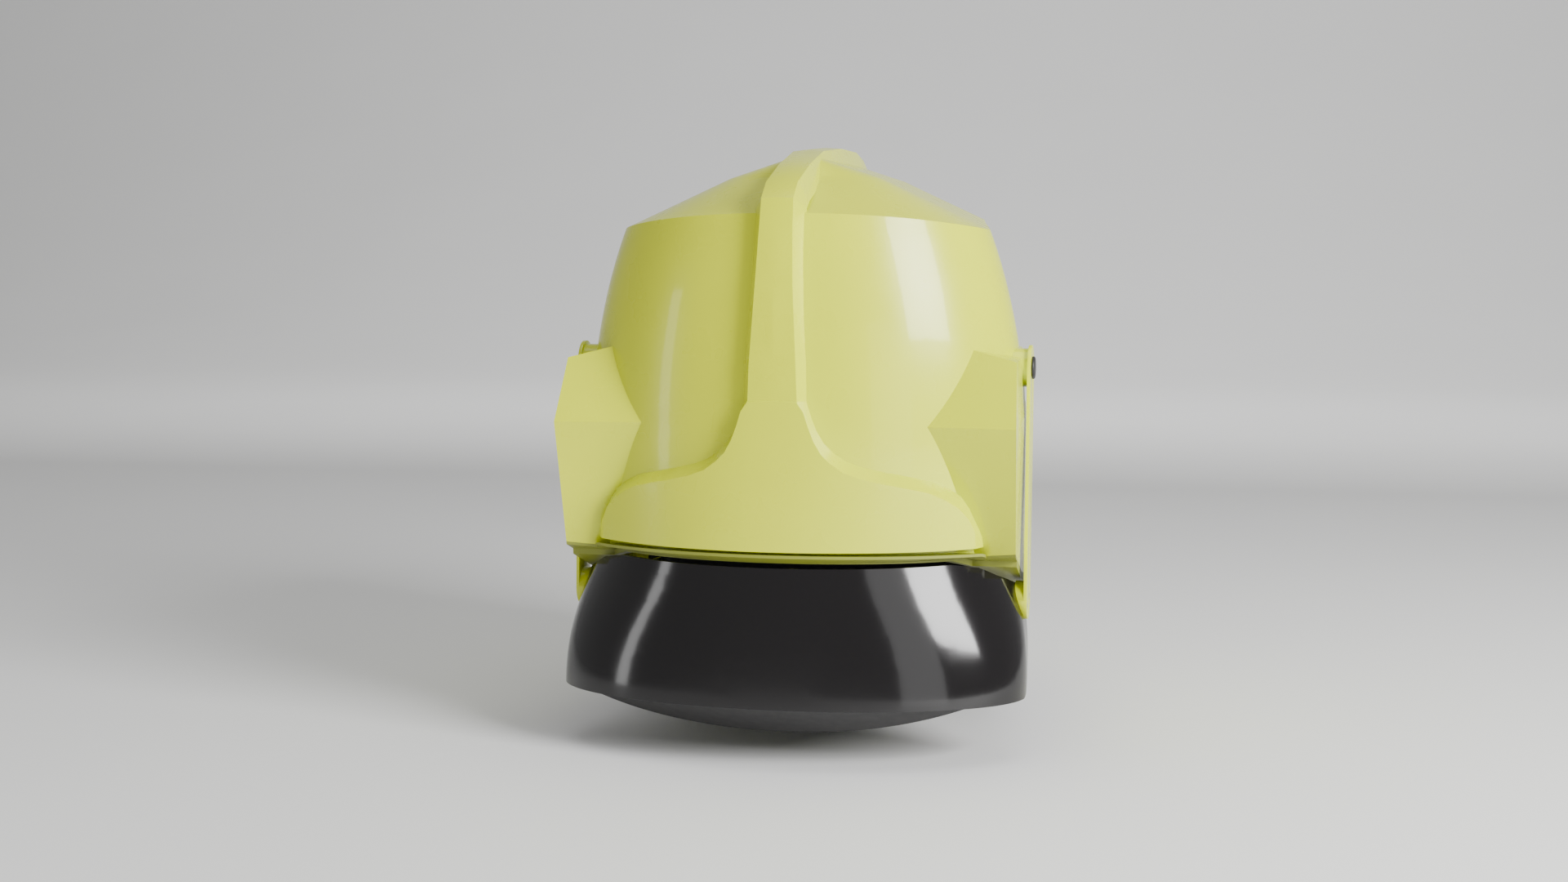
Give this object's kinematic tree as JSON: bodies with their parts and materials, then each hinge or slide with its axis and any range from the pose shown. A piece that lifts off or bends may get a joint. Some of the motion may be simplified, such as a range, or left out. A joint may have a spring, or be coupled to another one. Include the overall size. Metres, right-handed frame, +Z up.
{
  "type": "firefighter helmet",
  "caption": "Half-shell fire helmet with raised crest and brow plate, flip-up dark face shield, headband ratchet, chin strap and neck curtain.",
  "frame": {"origin": "centre of the headband ring, where the head carries the helmet", "axes": "+Z up through the crown, the wearer looks along -Y, +X is the wearer's left"},
  "size_m": [0.2706, 0.3243, 0.3472],
  "materials": {
    "shell_paint": "gloss fluorescent yellow-green over a moulded shell",
    "trim_plastic": "satin olive moulding",
    "black_rubber": "extruded black edging",
    "curtain_cloth": "woven flame-proof cloth",
    "black_plastic": "moulded black nylon",
    "button_plastic": "moulded red button",
    "shield_gloss": "polished dark-tinted polycarbonate",
    "chin_lip_matt": "matt black moulding",
    "steel": "machined stainless steel",
    "liner_foam": "dark moulded foam",
    "sweatband_leather": "brown perforated leather",
    "webbing": "woven webbing",
    "padding": "cloth over soft foam"
  },
  "bodies": {
    "helmet": {"buckle_case": "black_plastic", "buckle_tongue": "black_plastic", "chin_anchor_left": "black_plastic", "chin_anchor_right": "black_plastic", "chin_pad": "padding", "chin_strap_front": "webbing", "chin_strap_left": "webbing", "chin_strap_right": "webbing", "cradle_straps": "webbing", "crest_cover": "shell_paint", "crown_pad": "padding", "curtain_clip_strip": "black_plastic", "headband": "black_plastic", "headband_hangers": "trim_plastic", "impact_liner": "liner_foam", "lamp_socket_left": "trim_plastic", "lamp_socket_right": "trim_plastic", "nape_pad": "padding", "neck_curtain": "curtain_cloth", "outer_shell": "shell_paint", "pivot_boss_left": "shell_paint", "pivot_boss_right": "shell_paint", "pivot_cap_left": "black_plastic", "pivot_cap_right": "black_plastic", "pivot_nut_left": "steel", "pivot_nut_right": "steel", "pivot_pin_left": "steel", "pivot_pin_right": "steel", "ratchet_base": "black_plastic", "ratchet_bracket": "black_plastic", "ratchet_cover": "black_plastic", "rim_edging": "black_rubber", "slot_trim": "trim_plastic", "strap_slider": "black_plastic", "sweatband": "sweatband_leather"},
    "visor": {"face_shield": "shield_gloss", "shield_chin_lip": "chin_lip_matt", "shield_arm_left": "shell_paint", "shield_arm_right": "shell_paint", "shield_rivets_left": "steel", "shield_rivets_right": "steel"},
    "ratchet_wheel": {"ratchet_pinion": "black_plastic", "ratchet_knob": "black_plastic", "knob_screw": "steel"},
    "strap_left": {"size_strap_left": "black_plastic"},
    "strap_right": {"size_strap_right": "black_plastic"},
    "buckle_release": {"buckle_button": "button_plastic"}
  },
  "joints": [
    {"name": "visor_hinge", "type": "hinge", "parent": "helmet", "child": "visor", "pos_m": [0, -0.06, 0.079], "axis": [-1, 0, 0], "range_deg": [0, 75]},
    {"name": "ratchet_turn", "type": "hinge", "parent": "helmet", "child": "ratchet_wheel", "pos_m": [0, 0.11, 0.007], "axis": [0, 1, 0], "range_deg": [-110, 110]},
    {"name": "size_strap_right", "type": "hinge", "parent": "helmet", "child": "strap_right", "pos_m": [0, 0.022, 0.007], "axis": [0, 0, 1], "range_deg": [-9, 9]},
    {"name": "size_strap_left", "type": "hinge", "parent": "helmet", "child": "strap_left", "pos_m": [0, 0.022, 0.007], "axis": [0, 0, 1], "range_deg": [-9, 9]},
    {"name": "buckle_press", "type": "slide", "parent": "helmet", "child": "buckle_release", "axis": [-0.7839, 0.3341, 0.5234], "range_m": [0, 0.0025], "stiffness_N_per_m": 600}
  ],
  "couplings": [
    {"joint": "size_strap_right", "follows": "ratchet_turn", "ratio": -0.07503},
    {"joint": "size_strap_left", "follows": "ratchet_turn", "ratio": 0.07503}
  ]
}
